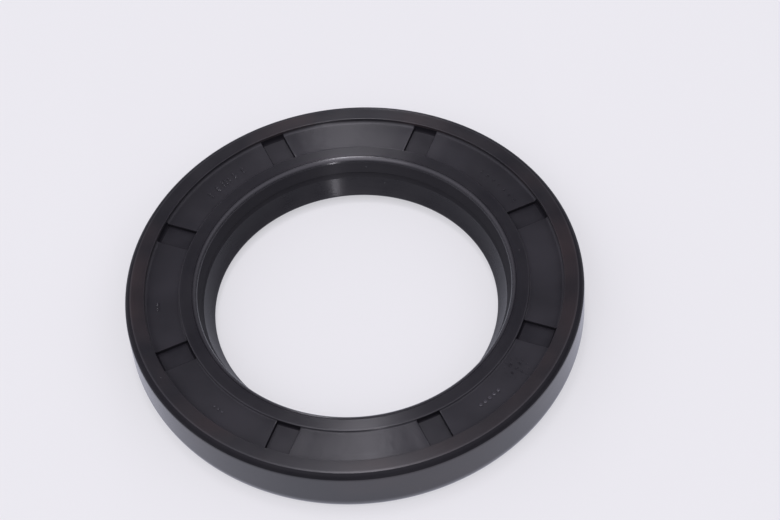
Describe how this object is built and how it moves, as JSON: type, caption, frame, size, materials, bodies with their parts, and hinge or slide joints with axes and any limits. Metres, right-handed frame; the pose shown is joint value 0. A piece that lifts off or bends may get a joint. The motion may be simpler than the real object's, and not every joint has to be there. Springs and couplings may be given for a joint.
{
  "type": "radial shaft seal",
  "caption": "Rubber-covered radial shaft seal, front face up: raised rim, recessed band with pockets, collar, sprung sealing lip.",
  "frame": {"origin": "on the shaft axis, in the plane of the back (oil side) face", "axes": "+Z along the shaft axis, out of the front (air side) face"},
  "size_m": [0.1102, 0.1102, 0.013],
  "materials": {
    "rubber": "moulded black nitrile rubber, satin",
    "coated_steel": "pressed sheet steel under a thin black bonding coat",
    "spring_wire": "drawn spring steel wire, close wound"
  },
  "bodies": {
    "root": {"rubber_body": "rubber", "steel_case": "coated_steel", "garter_spring": "spring_wire"}
  },
  "joints": []
}
